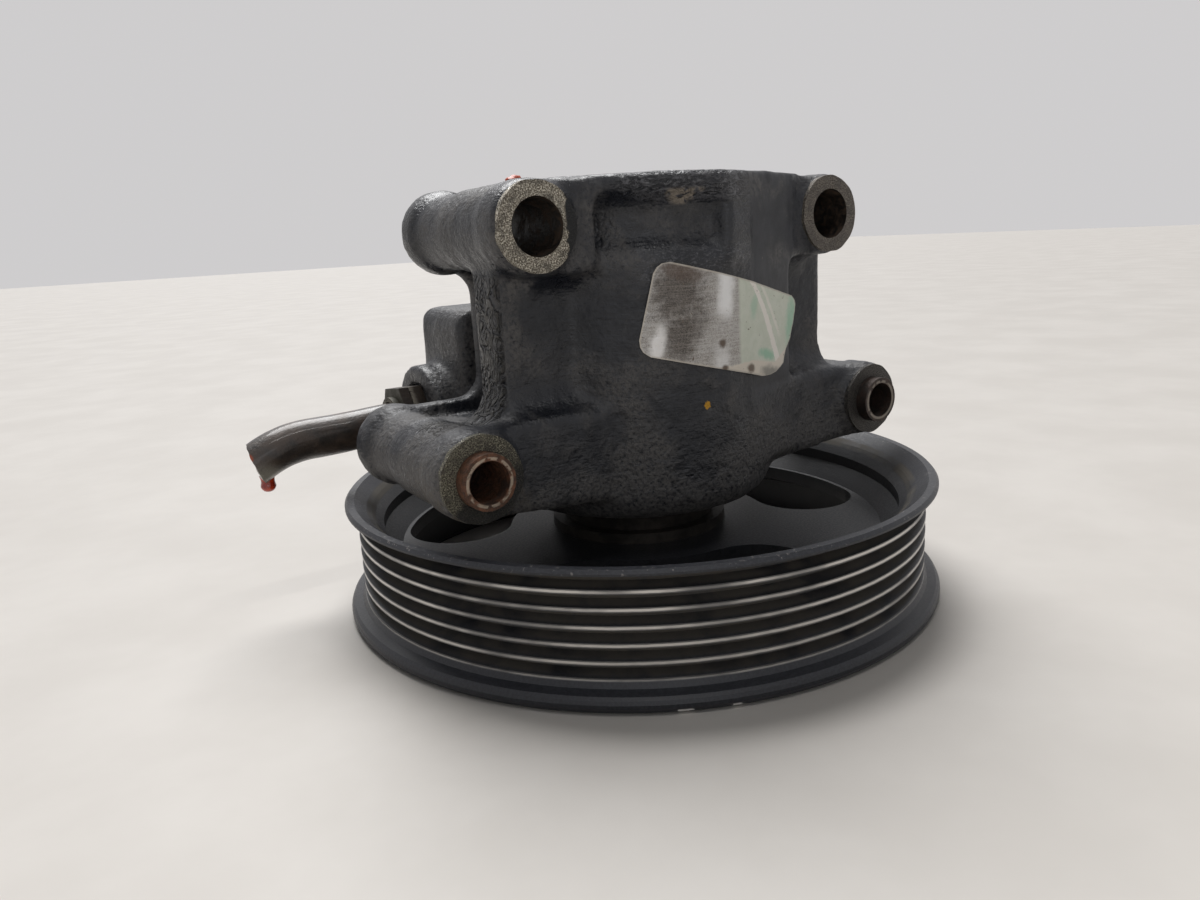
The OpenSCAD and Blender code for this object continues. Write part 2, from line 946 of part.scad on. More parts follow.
module inlet_spigot() {
    y_in = inlet_boss_y - inlet_seat;
    y_out = inlet_boss_y + inlet_len;
    color([0.35, 0.33, 0.3])
        difference() {
            union() {
                rod_y(inlet_x, inlet_z, inlet_r - seat_fit, y_in, y_out);
                rod_y(inlet_x, inlet_z, inlet_r + 0.9, y_out - 5, y_out - 3);
                rod_y(inlet_x, inlet_z, inlet_r + 2, inlet_boss_y, inlet_boss_y + 2);
            }
            rod_y(inlet_x, inlet_z, inlet_r - inlet_wall, y_in - cut, y_out + cut);
            difference() {
                rod_y(inlet_x, inlet_z, inlet_r + cut, y_in + 3, y_in + 3 + 2 * inlet_seal_r);
                rod_y(inlet_x, inlet_z, inlet_r - 0.7, y_in, y_out);
            }
        }
}

module inlet_seal() {
    y_mid = inlet_boss_y - inlet_seat + 3 + inlet_seal_r;
    color([0.03, 0.03, 0.03])
        translate([inlet_x, y_mid, inlet_z])
            rotate([90, 0, 0])
                rotate_extrude()
                    translate([inlet_r - 0.7, -inlet_seal_r])
                        square([0.7, 2 * inlet_seal_r]);
}

// Mounting sleeves and label

module mounting_sleeves() {
    y0 = -mount_y - sleeve_proud;
    color([0.32, 0.2, 0.14])
        for (s = [-1, 1])
            difference() {
                rod_y(s * lower_half, lower_z, bolt_r - seat_fit, y0, y0 + sleeve_len);
                rod_y(s * lower_half, lower_z, sleeve_bore_r, y0 - cut, y0 + sleeve_len + cut);
            }
}

module label_base(extra) {
    cylinder(r = body_r + extra, h = shoulder_z);
    at_flank()
        translate([-extra, -flank_dist - extra, lower_z])
            cube([flank_len, flank_depth, upper_z - lower_z]);
}

// Thin foil wrapped on the turned body and the flank
module foil_label() {
    color([0.62, 0.62, 0.6])
        difference() {
            intersection() {
                label_base(foil_t);
                slab(-2 * body_r, 2 - flank_edge_y)
                    translate([label_x, label_z])
                        rotate(label_tilt)
                            round_rect(-label_w / 2, label_w / 2, -label_h / 2, label_h / 2, label_round);
            }
            label_base(0);
        }
}

housing();
end_cover();
cover_seal();
retaining_ring();
pressure_spring();
pressure_plate();
plate_seal();
cam_ring();
rotor();
vanes();
rotor_clip();
thrust_plate();
dowel_pins();
drive_shaft();
shaft_bush();
shaft_seal();
pulley();
pulley_hub();
valve_spool();
valve_spring();
outlet_union();
union_seal();
tube_nut();
pressure_tube();
inlet_spigot();
inlet_seal();
mounting_sleeves();
foil_label();
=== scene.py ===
"""Looks of a power steering pump with a belt pulley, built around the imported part."""
import math

import bpy
import numpy as np
from mathutils import Matrix, Vector, noise


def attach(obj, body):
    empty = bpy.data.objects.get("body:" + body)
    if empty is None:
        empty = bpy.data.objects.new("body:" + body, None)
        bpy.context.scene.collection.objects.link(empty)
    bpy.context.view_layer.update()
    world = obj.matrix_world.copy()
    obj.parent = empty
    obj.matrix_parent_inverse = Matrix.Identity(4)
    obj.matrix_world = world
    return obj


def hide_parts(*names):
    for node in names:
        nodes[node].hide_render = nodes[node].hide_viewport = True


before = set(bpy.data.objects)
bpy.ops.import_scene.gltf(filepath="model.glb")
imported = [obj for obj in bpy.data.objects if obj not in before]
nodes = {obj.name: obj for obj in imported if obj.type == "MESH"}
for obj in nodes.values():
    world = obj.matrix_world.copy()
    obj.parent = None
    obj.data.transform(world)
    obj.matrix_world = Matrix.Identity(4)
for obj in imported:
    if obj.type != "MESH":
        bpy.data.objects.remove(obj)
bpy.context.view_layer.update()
scene = bpy.context.scene
MM = 0.001

# Sizes of the part's source that the looks need, in millimetres
MOUNT_Y = 27.5
BOSS_BACK = 19.3
BOSSES = {"ul": (-40.5, 83.5), "ur": (40.5, 83.5), "ll": (-56.5, 36.2), "lr": (56.5, 36.2)}
FACE_R = 8.9
BOLT_R = 5.75
PASS_R = 4.65
SEAT_DEEP = 13.0
CAVITY_R = 27.0
CAVITY_Z = 54.0
RING_GROOVE = (28.2, 90.9, 92.4)
SEAL_R = 14.0
NOSE_Z = 18.3
VALVE_AT = (36.0, 38.0)
VALVE_R = 8.0
OUTLET_X = 43.0
VALVE_END = 6.5
INLET_AT = (-14.0, 55.0)
INLET_R = 7.0
INLET_OUT = 50.0
BODY_R = 33.5
FLANK_DIST = 33.9
FLANK_TURN = 18.0
WEB_LEFT = -45.8
RIM_LOW = -5.3
RIM_TOP = 23.0
CREST_R = 70.0
BELT_LOW = 0.0
BELT_HIGH = 21.36
RIB_PITCH = 3.56
SLEEVE_END = -30.5
TUBE_R = 4.75
TUBE_WALL = 1.2
TUBE_START = -39.7
TUBE_BEND = 32.0

# Sizes of the looks alone, in millimetres and degrees
VOXEL = 0.95
RELAX_ROUNDS = 5
RELAX_PULL = 0.5
RING_THICK = 3.0
RING_WOBBLE = 0.25
THROUGH = 60.0
LEAD = 4.0
SEAL_DEEP = 8.0
INLET_DEEP = 12.0
SLEEVE_RIM_R = 4.75
NUT_START = -46.6
NUT_SHARE = 0.6
NUT_END = -49.2
HEX_TURN = 23.0
TUBE_STRAIGHT = -71.1
TUBE_BEND_R = 25.0
TUBE_DIP = 1.2
TUBE_DIP_AT = (-42.0, -70.0)
TUBE_SWELL = 0.2
DROP_R = 1.7
DROP_LONG = 4.0
DAB_AT = (-34.4, -8.4, 93.2)
DAB_HALF = (2.0, 1.6, 1.2)
LABEL_AT = (-4.8, 60.4)
LABEL_SIZE = (47.8, 20.1)
LABEL_TILT = -14.0
# Ends of the sheet as shares of its width, at shares of its height
LABEL_RISE = (0.0, 0.03, 0.08, 0.15, 0.2, 0.52, 0.85, 0.92, 0.97, 1.0)
LABEL_LEFT = (0.065, 0.03, 0.01, 0.0, 0.0, 0.0, 0.0, 0.01, 0.03, 0.065)
LABEL_RIGHT = (0.73, 0.79, 0.84, 0.885, 0.91, 0.98, 1.0, 0.995, 0.975, 0.94)
# Middle and size of each chip in the paint of the pulley's lower rim
RIM_CHIPS = ((-62.1, -43.2, 0.9), (-56.8, -48.4, 0.8), (-37.2, -64.7, 1.7), (-28.4, -69.3, 1.9),
             (-24.4, -71.0, 1.0))


# Materials

class Paint:
    """A material's node tree, built step by step. Places are in millimetres of the part's frame."""

    def __init__(self, name):
        self.material = bpy.data.materials.new(name)
        self.material.use_nodes = True
        self.tree = self.material.node_tree
        self.tree.nodes.clear()
        self.out = self.node("ShaderNodeOutputMaterial")
        place = self.node("ShaderNodeTexCoord").outputs["Object"]
        scaled = self.node("ShaderNodeVectorMath", {"operation": "SCALE"}, Vector=place, Scale=1 / MM)
        self.at = scaled.outputs[0]
        self.x, self.y, self.z = self.node("ShaderNodeSeparateXYZ", Vector=self.at).outputs

    def feed(self, socket, value):
        if isinstance(value, bpy.types.NodeSocket):
            self.tree.links.new(value, socket)
        elif isinstance(value, tuple) and len(value) == 3 and socket.type == "RGBA":
            socket.default_value = (*value, 1.0)
        else:
            socket.default_value = value

    def node(self, kind, settings=None, **sockets):
        made = self.tree.nodes.new(kind)
        for key, value in (settings or {}).items():
            setattr(made, key, value)
        for key, value in sockets.items():
            self.feed(made.inputs[key.replace("_", " ")], value)
        return made

    def math(self, operation, a, b=0.0):
        made = self.node("ShaderNodeMath", {"operation": operation})
        self.feed(made.inputs[0], a)
        self.feed(made.inputs[1], b)
        return made.outputs[0]

    def times(self, *values):
        product = values[0]
        for value in values[1:]:
            product = self.math("MULTIPLY", product, value)
        return product

    def plus(self, *values):
        total = values[0]
        for value in values[1:]:
            total = self.math("ADD", total, value)
        return total

    def most(self, a, b):
        return self.math("MAXIMUM", a, b)

    def span(self, value, low, high, out_low=0.0, out_high=1.0):
        """A soft step of a value from low to high, which may run downwards."""
        made = self.node("ShaderNodeMapRange", {"interpolation_type": "SMOOTHSTEP"})
        for socket, given in zip(made.inputs, (value, low, high, out_low, out_high)):
            self.feed(socket, given)
        return made.outputs[0]

    def noise(self, scale, detail=3.0, rough=0.55, warp=0.0, at=None):
        made = self.node("ShaderNodeTexNoise", Vector=at or self.at, Scale=scale, Detail=detail,
                         Roughness=rough, Distortion=warp)
        return made.outputs["Fac"]

    def cells(self, scale, feature="F1", output="Distance", at=None):
        made = self.node("ShaderNodeTexVoronoi", {"feature": feature}, Vector=at or self.at, Scale=scale)
        return made.outputs[output]

    def stretched(self, x, y, z):
        """The place, with each axis scaled, for grain that runs one way."""
        made = self.node("ShaderNodeVectorMath", {"operation": "MULTIPLY"}, Vector=self.at)
        made.inputs[1].default_value = (x, y, z)
        return made.outputs[0]

    def far_from(self, x, y, z):
        """Distance from a point."""
        made = self.node("ShaderNodeVectorMath", {"operation": "DISTANCE"}, Vector=self.at)
        made.inputs[1].default_value = (x, y, z)
        return made.outputs["Value"]

    def round_z(self):
        """Distance from the shaft axis."""
        return self.math("SQRT", self.plus(self.times(self.x, self.x), self.times(self.y, self.y)))

    def mix(self, factor, a, b):
        made = self.node("ShaderNodeMix", {"data_type": "FLOAT"})
        for index, value in ((0, factor), (2, a), (3, b)):
            self.feed(made.inputs[index], value)
        return made.outputs[0]

    def tint(self, factor, a, b):
        made = self.node("ShaderNodeMix", {"data_type": "RGBA"})
        for index, value in ((0, factor), (6, a), (7, b)):
            self.feed(made.inputs[index], value)
        return made.outputs[2]

    def bump(self, height, depth_mm, strength=1.0, normal=None):
        made = self.node("ShaderNodeBump", Strength=strength, Distance=depth_mm * MM, Height=height)
        if normal:
            self.feed(made.inputs["Normal"], normal)
        return made.outputs[0]

    def edges(self, low=0.52, high=0.6):
        """One on sharp outer edges of a fine mesh."""
        return self.span(self.node("ShaderNodeNewGeometry").outputs["Pointiness"], low, high)

    def done(self, colour, rough, normal=None, metal=0.0, **others):
        shader = self.node("ShaderNodeBsdfPrincipled", Base_Color=colour, Roughness=rough,
                           Metallic=metal, **others)
        if normal:
            self.feed(shader.inputs["Normal"], normal)
        self.tree.links.new(shader.outputs[0], self.out.inputs["Surface"])
        return self.material


def cast_paint():
    """Satin black paint over rough cast metal, dusty near the pulley and worn on the edges."""
    p = Paint("black_casting")
    grain = p.noise(1.3, 5.0, 0.6)
    sand = p.noise(0.85, 3.0, 0.5)
    lumps = p.noise(0.33, 3.0)
    strokes = p.noise(0.8, 3.0, 0.6, at=p.stretched(0.3, 0.3, 2.4))
    patches = p.noise(0.07, 4.0, 0.6, 0.4)
    low = p.span(p.z, 46.0, 22.0)
    left = p.span(p.x, 0.0, -50.0)
    dust = p.times(p.span(p.plus(patches, p.times(low, 0.24), p.times(left, 0.07)), 0.48, 0.74),
                   p.span(grain, 0.3, 0.6))
    worn = p.times(p.edges(), p.span(p.noise(0.5, 4.0), 0.4, 0.65))
    mottle = p.span(p.noise(0.21, 4.0, 0.6), 0.36, 0.66)
    colour = p.tint(mottle, (0.0085, 0.0098, 0.014), (0.0185, 0.0204, 0.0262))
    colour = p.tint(dust, colour, (0.115, 0.11, 0.107))
    colour = p.tint(p.times(worn, 0.45), colour, (0.1, 0.097, 0.09))
    ll = p.span(p.far_from(-57.0, -19.0, 28.0), 17.0, 7.0)
    rust = p.times(ll, p.span(p.noise(0.5, 5.0, 0.7), 0.42, 0.66))
    colour = p.tint(p.times(rust, 0.8), colour, (0.085, 0.07, 0.046))
    specks = p.times(p.span(p.cells(0.32), 0.12, 0.07), p.span(p.noise(0.21, 2.0), 0.54, 0.64))
    colour = p.tint(p.times(specks, 0.4), colour, (0.13, 0.12, 0.105))
    front = p.span(p.y, -26.0, -30.0)
    band = p.times(front, p.span(p.z, 86.6, 88.4), p.span(p.x, 9.0, 6.0))
    wrinkles_and_sheen = p.span(p.noise(0.5, 3.0, 0.6, 2.2, p.stretched(0.6, 0.6, 1.3)), 0.36, 0.62)
    shoulder = p.times(front, p.span(p.z, 69.5, 73.0), p.span(p.z, 80.0, 76.5), p.span(p.x, 11.0, 9.0))
    shoulder_sheen = p.span(p.noise(1.2, 4.0, 0.7, 0.8, p.stretched(0.7, 0.7, 1.6)), 0.5, 0.68)
    # Painted highlight: the front of the head band is lighter along its wrinkles
    colour = p.tint(p.times(band, wrinkles_and_sheen, 0.8), colour, (0.11, 0.111, 0.122))
    # Painted highlight: lighter streaks on the front of the shoulder
    colour = p.tint(p.times(shoulder, shoulder_sheen, 0.8), colour, (0.13, 0.131, 0.145))
    bare = p.times(p.span(p.far_from(-9.0, -34.5, 88.0), 5.2, 3.6), p.span(p.z, 86.2, 87.0),
                   p.span(p.z, 90.2, 89.2), p.span(p.noise(0.32, 4.0, 0.6, 0.5), 0.4, 0.48))
    colour = p.tint(bare, colour, (0.26, 0.225, 0.185))
    speck_edge = p.plus(p.far_from(-4.0, -33.3, 44.0), p.times(p.noise(1.3, 2.0), 1.6))
    colour = p.tint(p.span(speck_edge, 1.7, 1.45), colour, (0.6, 0.3, 0.01))
    flank = p.times(p.span(p.x, 9.5, 11.5), p.span(p.x, 29.5, 27.5), p.span(p.y, -24.0, -25.5),
                    p.span(p.z, 43.0, 46.0))
    head = p.times(p.span(p.z, 70.0, 76.0), p.span(p.x, 12.0, 9.0))
    gloss = p.most(p.span(p.noise(0.05, 3.0, 0.5), 0.4, 0.62), head)
    coarse = p.span(grain, 0.3, 0.7)
    rough = p.mix(gloss, p.mix(coarse, 0.36, 0.52), p.mix(coarse, 0.22, 0.38))
    rough = p.mix(p.most(dust, bare), rough, 0.74)
    rough = p.mix(flank, rough, 0.5)
    calm = p.mix(flank, 1.0, 0.25)
    seam = p.times(p.span(p.x, WEB_LEFT + 1.2, WEB_LEFT + 0.4), p.span(p.z, 43.0, 47.0),
                   p.span(p.z, 76.0, 71.0), p.span(p.y, -5.5, -8.5), p.span(p.y, -19.0, -17.0))
    worms = p.span(p.noise(0.3, 2.0, 0.5, 2.6, p.stretched(1.0, 1.0, 0.7)), 0.38, 0.6)
    sandy = p.mix(p.span(p.plus(patches, p.times(low, 0.3)), 0.42, 0.7), 0.3, 1.0)
    normal = p.bump(p.times(lumps, calm), 0.55, 0.7)
    normal = p.bump(p.times(sand, sandy, calm), 0.5, 0.9, normal)
    normal = p.bump(p.times(strokes, calm), 0.16, 0.8, normal)
    normal = p.bump(p.times(grain, calm), 0.16, 0.8, normal)
    normal = p.bump(p.times(wrinkles_and_sheen, band), 0.5, 0.9, normal)
    normal = p.bump(p.times(worms, seam), 2.0, 1.0, normal)
    colour = p.tint(p.times(seam, p.span(worms, 0.3, 0.9), 0.75), colour, (0.075, 0.07, 0.062))
    return p.done(colour, rough, normal, Specular_IOR_Level=0.44)


def ring_metal():
    """Bare machined boss faces: gritty silver at the upper left, brown and dirtier elsewhere."""
    p = Paint("boss_face")
    upper = p.span(p.z, 55.0, 65.0)
    left = p.span(p.x, 10.0, -10.0)
    bright = p.times(left, upper)
    grit = p.span(p.noise(3.2, 3.0, 0.6), 0.38, 0.62)
    dirt = p.span(p.noise(0.5, 5.0, 0.65, 0.3), 0.44, 0.64)
    silver = p.tint(grit, (0.13, 0.11, 0.08), (0.68, 0.63, 0.53))
    green = p.tint(grit, (0.05, 0.045, 0.033), (0.34, 0.32, 0.24))
    brown = p.tint(grit, (0.06, 0.051, 0.041), (0.25, 0.22, 0.185))
    dark = p.tint(grit, (0.022, 0.021, 0.02), (0.11, 0.1, 0.088))
    colour = p.tint(upper, p.tint(left, dark, green), p.tint(left, brown, silver))
    colour = p.tint(p.times(dirt, 0.55), colour, (0.05, 0.042, 0.034))
    chipped = p.plus(p.x, p.times(p.noise(0.55, 4.0, 0.7), 2.6))
    painted = p.times(bright, p.span(chipped, BOSSES["ul"][0] + 7.7, BOSSES["ul"][0] + 8.0))
    low_left = p.times(p.plus(1.0, p.times(upper, -1.0)), left)
    fall = p.plus(p.times(p.plus(p.x, -BOSSES["ll"][0]), 0.5), p.times(p.plus(p.z, -BOSSES["ll"][1]), -1.0),
                  p.times(p.noise(0.4, 4.0, 0.7), 9.0))
    painted = p.most(painted, p.times(low_left, p.span(fall, 5.5, 8.0), 0.85))
    colour = p.tint(painted, colour, (0.011, 0.0112, 0.012))
    normal = p.bump(grit, 0.22, 1.0)
    metal = p.mix(p.most(painted, p.times(dirt, 0.6)), p.mix(bright, 0.45, 0.85), 0.05)
    return p.done(colour, p.mix(grit, 0.5, 0.3), normal, metal)


def bore_metal():
    """Dark, lightly rusted bores."""
    p = Paint("bore")
    stain = p.span(p.noise(0.5, 4.0, 0.65, 0.5), 0.4, 0.66)
    colour = p.tint(stain, (0.016, 0.014, 0.012), (0.075, 0.05, 0.034))
    return p.done(colour, p.mix(stain, 0.45, 0.75), p.bump(p.noise(1.5, 4.0), 0.12, 0.7), 0.3)


def pulley_paint():
    """Black painted pulley with belt-polished crests, brown dust in the grooves and chipped edges."""
    p = Paint("black_pulley")
    r = p.round_z()
    grain = p.noise(1.8, 4.0, 0.6)
    patches = p.noise(0.09, 4.0, 0.6, 0.3)
    belt = p.times(p.span(p.z, BELT_LOW - 0.2, BELT_LOW + 0.2), p.span(p.z, BELT_HIGH - 0.5, BELT_HIGH - 0.9),
                   p.span(r, CREST_R - 4.5, CREST_R - 4.0))
    streak = p.noise(1.0, 3.0, at=p.stretched(0.05, 0.05, 6.0))
    crest = p.times(belt, p.span(p.plus(r, p.times(streak, 0.12)), CREST_R - 0.13, CREST_R + 0.02))
    from_crest = p.math("PINGPONG", p.plus(p.z, p.times(p.noise(0.3, 2.0), 0.16), -0.08), RIB_PITCH / 2)
    line = p.span(from_crest, 0.34, 0.16)
    scuffed = p.times(crest, p.span(p.noise(0.05, 3.0, 0.6), 0.3, 0.55, 0.35, 1.0), p.mix(line, 0.2, 1.0))
    dust = p.times(belt, p.span(patches, 0.28, 0.6), p.span(r, CREST_R - 0.1, CREST_R - 1.2))
    lip = p.times(p.span(p.z, RIM_TOP - 1.3, RIM_TOP - 0.6), p.span(r, 66.0, 69.5))
    edge = p.times(lip, p.span(p.noise(0.9, 4.0, 0.7), 0.6, 0.68))
    foot = p.times(p.span(p.z, RIM_LOW + 1.2, RIM_LOW + 0.8), p.span(r, 71.0, 72.0))
    torn = p.noise(0.9, 3.0, 0.6)
    chips = 0.0
    for x, y, size in RIM_CHIPS:
        far = p.plus(p.far_from(x, y, RIM_LOW), p.times(torn, 2.4))
        chips = p.most(chips, p.span(far, size + 1.7, size + 1.3))
    chips = p.times(chips, foot)
    colour = p.tint(p.span(grain, 0.35, 0.7), (0.017, 0.0182, 0.0235), (0.031, 0.0328, 0.04))
    # Painted shade: the pulley is darker inside the rim, under the housing
    colour = p.tint(p.times(p.span(r, 67.5, 66.0), 0.6), colour, (0.005, 0.0052, 0.006))
    colour = p.tint(p.times(dust, 0.9), colour, (0.1, 0.09, 0.076))
    colour = p.tint(scuffed, colour, (0.6, 0.58, 0.55))
    colour = p.tint(p.times(edge, 0.6), colour, (0.28, 0.26, 0.25))
    colour = p.tint(chips, colour, (0.95, 0.93, 0.9))
    rough = p.mix(p.span(grain, 0.3, 0.7), 0.34, 0.5)
    rough = p.mix(dust, rough, 0.85)
    rough = p.mix(scuffed, rough, 0.3)
    normal = p.bump(grain, 0.06, 0.7)
    normal = p.bump(streak, 0.05, 0.5, normal)
    metal = p.plus(p.times(scuffed, 0.85), p.times(edge, 0.3))
    return p.done(colour, rough, normal, metal, Specular_IOR_Level=0.42)


def sleeve_metal():
    """Copper-brown rusted sleeves with thin bare rims; the right one is darker."""
    p = Paint("rusty_sleeve")
    rust = p.span(p.noise(0.7, 5.0, 0.65, 0.4), 0.36, 0.64)
    right = p.span(p.x, -10.0, 10.0)
    side = p.math("ABSOLUTE", p.x)
    off = p.plus(side, -BOSSES["lr"][0])
    up = p.plus(p.z, -BOSSES["lr"][1])
    far = p.math("SQRT", p.plus(p.times(off, off), p.times(up, up)))
    face = p.span(p.y, SLEEVE_END + 0.3, SLEEVE_END + 0.1)
    from_rim = p.math("ABSOLUTE", p.plus(far, -SLEEVE_RIM_R))
    rim = p.times(face, p.span(from_rim, 0.4, 0.2), p.span(p.noise(0.6, 4.0), 0.4, 0.5))
    colour = p.tint(rust, (0.17, 0.075, 0.042), (0.075, 0.042, 0.028))
    colour = p.tint(p.times(p.span(p.noise(0.3, 3.0), 0.5, 0.66), 0.75), colour, (0.026, 0.021, 0.018))
    colour = p.tint(p.times(right, 0.8), colour, (0.026, 0.024, 0.022))
    colour = p.tint(p.times(rim, 0.8), colour, p.tint(right, (0.4, 0.33, 0.26), (0.2, 0.18, 0.155)))
    normal = p.bump(p.noise(1.6, 4.0, 0.65), 0.14, 0.9)
    return p.done(colour, p.mix(rim, p.mix(rust, 0.5, 0.7), 0.34), normal, p.mix(rim, 0.4, 0.85))


def tube_metal():
    """Dark brown tube under a thin coat of oil, with a pale film and a red stain at its end."""
    p = Paint("oily_tube")
    film = p.span(p.noise(0.16, 4.0, 0.6, 0.6), 0.38, 0.66)
    pits = p.noise(1.4, 4.0, 0.65)
    colour = p.tint(film, (0.02, 0.015, 0.012), (0.05, 0.033, 0.023))
    pale = p.span(p.far_from(-83.6, 32.0, 28.8), 6.0, 2.0)
    colour = p.tint(p.times(pale, 0.85), colour, (0.3, 0.285, 0.24))
    colour = p.tint(p.span(p.far_from(-87.0, 32.4, 35.0), 1.5, 0.9), colour, (0.32, 0.06, 0.02))
    normal = p.bump(pits, 0.16, 0.8)
    return p.done(colour, p.mix(film, 0.34, 0.48), normal, 0.2, Coat_Weight=0.4, Coat_Roughness=0.1)


def brown_steel():
    """Union and nut: brown stained steel, paler and greenish on the end face."""
    p = Paint("brown_steel")
    stain = p.span(p.noise(0.3, 5.0, 0.65, 0.5), 0.36, 0.64)
    colour = p.tint(stain, (0.035, 0.025, 0.018), (0.016, 0.012, 0.009))
    end = p.span(p.x, NUT_END + 0.3, NUT_END + 0.05)
    colour = p.tint(p.times(end, 0.75), colour, (0.075, 0.073, 0.055))
    rubbed = p.times(p.edges(), p.span(p.noise(0.8, 3.0), 0.36, 0.56))
    colour = p.tint(p.times(rubbed, 0.7), colour, (0.3, 0.27, 0.22))
    normal = p.bump(p.noise(1.2, 4.0), 0.12, 0.8)
    return p.done(colour, p.mix(stain, 0.5, 0.65), normal, 0.1, Specular_IOR_Level=0.25)


def plain_metal(name, dark, light, rough, metal=0.85, grain=1.0):
    """A metal with fine grain, mottled stain and soft wear."""
    p = Paint(name)
    stain = p.span(p.noise(0.22, 4.0, 0.6, 0.3), 0.35, 0.68)
    fine = p.noise(2.2 * grain, 4.0, 0.6)
    colour = p.tint(stain, dark, light)
    colour = p.tint(p.times(p.span(fine, 0.55, 0.75), 0.4), colour, tuple(c * 0.6 for c in dark))
    return p.done(colour, p.mix(fine, rough - 0.1, rough + 0.14), p.bump(fine, 0.05, 0.7), metal)


def foil_paint():
    """Scuffed silver foil with a plain pale green field, a slanting crease and a folded corner."""
    p = Paint("foil")
    sheet = p.node("ShaderNodeAttribute", {"attribute_name": "sheet"}).outputs["Vector"]
    across, rise, inward = p.node("ShaderNodeSeparateXYZ", Vector=sheet).outputs
    ragged = p.plus(p.noise(0.6, 4.0, 0.6), -0.5)

    def spot(right, up, wide, high, strength=1.0):
        """A soft, uneven patch around a place on the sheet."""
        off = p.times(p.plus(across, -right), 1 / wide)
        over = p.times(p.plus(rise, -up), 1 / high)
        far = p.math("SQRT", p.plus(p.times(off, off), p.times(over, over)))
        return p.times(p.span(p.plus(far, p.times(ragged, 1.2)), 1.4, 0.4), strength)

    grit = p.span(p.noise(3.4, 4.0, 0.7, 0.8), 0.34, 0.66)
    crumple = p.span(p.noise(0.34, 5.0, 0.65, 0.8), 0.34, 0.66)
    brushed = p.span(p.noise(1.0, 4.0, 0.6, at=p.stretched(0.16, 0.16, 3.2)), 0.4, 0.68)
    silver = p.tint(grit, (0.2, 0.185, 0.17), (0.46, 0.445, 0.425))
    silver = p.tint(p.times(brushed, 0.5), silver, (0.56, 0.55, 0.54))
    # Painted reflection: dark brushed patches on the silver stand in for dark things it reflects
    dark_reflection_grain = p.plus(p.times(grit, 0.6), p.times(brushed, 0.4))
    dark_reflection_tint = p.tint(dark_reflection_grain, (0.014, 0.011, 0.009), (0.17, 0.145, 0.125))
    dark_reflection_spots = ((0.12, 0.72, 0.13, 0.34, 0.85), (0.18, 0.25, 0.09, 0.26, 0.8),
                   (0.25, 0.5, 0.06, 0.2, 0.5))
    for place in dark_reflection_spots:
        silver = p.tint(spot(*place), silver, dark_reflection_tint)
    silver = p.tint(spot(0.13, 0.93, 0.1, 0.1, 0.5), silver, (0.11, 0.075, 0.06))
    # Painted highlight: a bright vertical band where the curved foil catches the light
    middle = p.plus(across, p.times(rise, 0.06), p.times(ragged, 0.04), -0.42)
    painted_highlight = p.span(p.math("ABSOLUTE", middle), 0.07, 0.01)
    painted_highlight = p.times(painted_highlight, p.plus(p.span(rise, 0.46, 0.68), p.times(p.span(rise, 0.4, 0.05), 0.55)))
    silver = p.tint(painted_highlight, silver, (0.95, 0.95, 0.95))
    # Painted highlight: a bright glint near the lower left of the sheet
    silver = p.tint(spot(0.085, 0.12, 0.035, 0.22, 0.85), silver, (0.8, 0.79, 0.78))
    field = p.span(p.plus(across, p.times(rise, 0.11)), 0.535, 0.56)
    green = p.tint(p.times(crumple, 0.4), (0.62, 0.66, 0.56), (0.76, 0.78, 0.7))
    green_spots = ((0.96, 0.72, 0.05, 0.3, 0.8), (0.58, 0.74, 0.03, 0.14, 0.5),
                   (0.75, 0.26, 0.08, 0.06, 0.9))
    for place in green_spots:
        green = p.tint(spot(*place), green, (0.32, 0.56, 0.41))
    colour = p.tint(field, silver, green)
    drop = p.plus(0.96, p.times(rise, -1.0))
    crease = p.plus(0.56, p.times(drop, 0.55), p.times(drop, drop, -0.2))
    slant = p.plus(across, p.times(crease, -1.0), p.times(ragged, 0.03))
    stripe = p.span(p.math("ABSOLUTE", slant), 0.03, 0.022)
    beside = p.math("ABSOLUTE", p.plus(slant, -0.085))
    second = p.times(p.span(beside, 0.02, 0.01), p.span(rise, 0.45, 0.6), 0.6)
    colour = p.tint(p.times(p.most(stripe, second), 0.95), colour, (0.9, 0.86, 0.8))
    below = p.span(p.plus(rise, p.times(across, -0.7), p.times(ragged, 0.05)), -0.27, -0.3)
    gentle = p.plus(0.16, p.times(p.plus(across, -0.64), 0.14))
    steep = p.plus(0.19, p.times(p.plus(across, -0.83), 1.7))
    ledge = p.most(gentle, steep)
    fold = p.times(below, p.span(p.plus(rise, p.times(ledge, -1.0)), 0.015, -0.015))
    colour = p.tint(fold, colour, (0.74, 0.68, 0.59))
    colour = p.tint(p.times(spot(0.8, 0.06, 0.09, 0.08), fold), colour, (0.3, 0.285, 0.25))
    rim = p.span(inward, 0.5, 0.15)
    colour = p.tint(p.times(rim, 0.7), colour, (0.5, 0.46, 0.4))
    dirt = p.times(p.span(p.noise(1.1, 3.0, 0.6), 0.66, 0.7), p.span(p.noise(0.13, 2.0), 0.44, 0.58))
    for place in ((0.4, 0.28, 0.022, 0.05), (0.62, 0.06, 0.03, 0.05), (0.44, 0.02, 0.02, 0.03)):
        dirt = p.most(dirt, spot(*place))
    colour = p.tint(p.times(dirt, 0.9), colour, (0.1, 0.06, 0.035))
    plain = p.most(p.most(field, fold), dirt)
    rough = p.mix(plain, p.mix(brushed, 0.3, 0.44), 0.48)
    return p.done(colour, rough, p.bump(crumple, 0.12, 0.5), p.mix(p.most(plain, painted_highlight), 0.6, 0.1))


